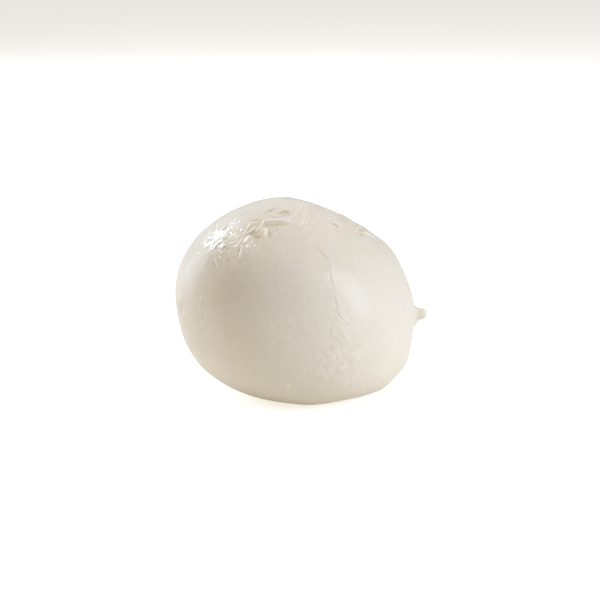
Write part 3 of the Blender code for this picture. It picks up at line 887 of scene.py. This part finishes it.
# %% Grain: fine threads along the pull, and a crinkle where it is wet
grain = node("ShaderNodeTexNoise", {}, Scale=1500, Detail=3, Roughness=0.6)
stretch = node("ShaderNodeMapping", {}, Scale=(1.0, 1.0, 0.35))
links.new(place, stretch.inputs["Vector"])
links.new(stretch.outputs["Vector"], grain.inputs["Vector"])
crinkle = node("ShaderNodeMath", {"operation": "MULTIPLY"})
links.new(grain.outputs["Fac"], crinkle.inputs[0])
links.new(scaled(wet_here, 0, 1, 0.35, 0.08), crinkle.inputs[1])
bump = node("ShaderNodeBump", {}, Distance=0.07 * MM, Strength=1.0)
links.new(crinkle.outputs["Value"], bump.inputs["Height"])
links.new(bump.outputs["Normal"], shader.inputs["Normal"])
ball.data.materials.append(curd)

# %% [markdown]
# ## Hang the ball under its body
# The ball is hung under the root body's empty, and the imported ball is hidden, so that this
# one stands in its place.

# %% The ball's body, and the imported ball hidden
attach(ball, "root")
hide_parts("mozzarella_ball")

# %% [markdown]
# ## The table
# A pale table throws a little warm light up at the underside. It glows white where it is
# looked at, so the ball stands free, and only faintly where it lights the curd: a Light Path
# node chooses between the two. Far behind the ball, where the boxes reach it less, it fades to
# a pale grey. A real white sheet would need a second set of lamps.

# %% Floor
FLOOR_HALF_WIDTH = 6  # metres, so that its edge is never seen
floor_bm = bmesh.new()
bmesh.ops.create_grid(floor_bm, x_segments=2, y_segments=2, size=FLOOR_HALF_WIDTH)
floor_mesh = bpy.data.meshes.new("floor")
floor_bm.to_mesh(floor_mesh)
floor_bm.free()
floor = bpy.data.objects.new("floor", floor_mesh)
bpy.context.scene.collection.objects.link(floor)
floor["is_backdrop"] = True
FLOOR_GLOW = (0.172, 0.128, 0.036, 1)  # what the floor gives back to the underside
paper = bpy.data.materials.new("white_table")
paper.use_nodes = True
paper_shader = paper.node_tree.nodes["Principled BSDF"]
paper_shader.inputs["Base Color"].default_value = (0.9, 0.9, 0.9, 1)
paper_shader.inputs["Roughness"].default_value = 0.9
paper_shader.inputs["Specular IOR Level"].default_value = 0.1
paper_shader.inputs["Emission Strength"].default_value = 0.65
seen_directly = paper.node_tree.nodes.new("ShaderNodeLightPath")
glow = paper.node_tree.nodes.new("ShaderNodeMix")
glow.data_type = "RGBA"
glow.inputs[COLOR_A].default_value = FLOOR_GLOW
glow.inputs[COLOR_B].default_value = (1, 1, 1, 1)
paper.node_tree.links.new(seen_directly.outputs["Is Camera Ray"], glow.inputs[FACTOR])
paper.node_tree.links.new(glow.outputs[MIXED], paper_shader.inputs["Emission Color"])
floor.data.materials.append(paper)

# %% [markdown]
# ## Soft studio light
# A tall box on the right is the key, a broad one overhead fills, and three on the left and
# behind draw the rims. Two small ones are there for the glints: the window, and a sparkle
# over the crown that only glossy rays see, so that it doesn't light the curd itself.

# %% Lights
SUBJECT = np.array((-0.24, 0, 25.5)) * MM  # what the boxes and the camera are aimed at
BOX_DISTANCE = 0.7


def softbox(name, towards, size, power, color):
    """A soft area light that faces the ball from a direction."""
    light = bpy.data.lights.new(name, "AREA")
    light.shape = "RECTANGLE"
    light.size, light.size_y = size
    light.energy = power
    light.color = color
    lamp = bpy.data.objects.new(name, light)
    away = Vector(towards).normalized()
    lamp.location = Vector(SUBJECT) + away * BOX_DISTANCE
    lamp.rotation_euler = away.to_track_quat("Z", "Y").to_euler()
    bpy.context.scene.collection.objects.link(lamp)
    return lamp


softbox("key", (0.83, -0.46, 0.46), (0.25, 0.75), 3.75, (0.845, 0.90, 1.0))
softbox("overhead", (0.0, 0.25, 0.95), (0.7, 0.7), 2.0, (1.0, 0.84, 0.64))
softbox("window", (-0.56, 0.64, 0.53), (0.13, 0.16), 0.95, (0.85, 0.91, 1.0))
softbox("left_edge", (-0.85, 0.50, 0.08), (0.4, 0.6), 3.1, (0.67, 0.84, 1.0))
softbox("left", (-1.0, -0.1, 0.2), (0.35, 0.35), 0.75, (1.0, 0.75, 0.58))
softbox("back", (-0.2, 0.8, 0.55), (0.6, 0.4), 0.9, (0.55, 0.75, 1.0))
sparkle = softbox("sparkle", (-0.45, 0.20, 0.87), (0.14, 0.14), 0.5, (0.92, 0.96, 1.0))
sparkle.visible_diffuse = False  # it only has to be mirrored in the flakes of the crown
print("lights:", sorted(light.name for light in bpy.data.lights))

# %% A warm, dim room round it all
world = bpy.data.worlds.new("studio")
world.use_nodes = True
world.node_tree.nodes["Background"].inputs["Color"].default_value = (1.0, 0.80, 0.53, 1)
world.node_tree.nodes["Background"].inputs["Strength"].default_value = 0.15
bpy.context.scene.world = world
bpy.context.scene.view_settings.view_transform = "Standard"

# %% [markdown]
# ## Camera
# A long lens a little above the table keeps the ball's outline nearly free of perspective.

# %% Camera
ELEVATION = math.radians(15)
LENS, SENSOR = 100, 36
FRAME_WIDTH = 164.3 * MM
camera_data = bpy.data.cameras.new("camera")
camera_data.lens, camera_data.sensor_width = LENS, SENSOR
camera = bpy.data.objects.new("camera", camera_data)
distance = FRAME_WIDTH * LENS / SENSOR
camera.location = SUBJECT + distance * np.array((0, -math.cos(ELEVATION), math.sin(ELEVATION)))
camera.rotation_euler = (math.pi / 2 - ELEVATION, 0, 0)
bpy.context.scene.collection.objects.link(camera)
bpy.context.scene.camera = camera
print("the camera stands", round(distance, 3), "m away")

# %% [markdown]
# ## The size
# The visual ball has to stay inside the imported ball's box, so both boxes are printed.

# %% Sizes, and the end
seen_box = [list(corner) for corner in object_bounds()]
print("the finished ball's box, mm:", [[round(x / MM, 1) for x in corner] for corner in seen_box])
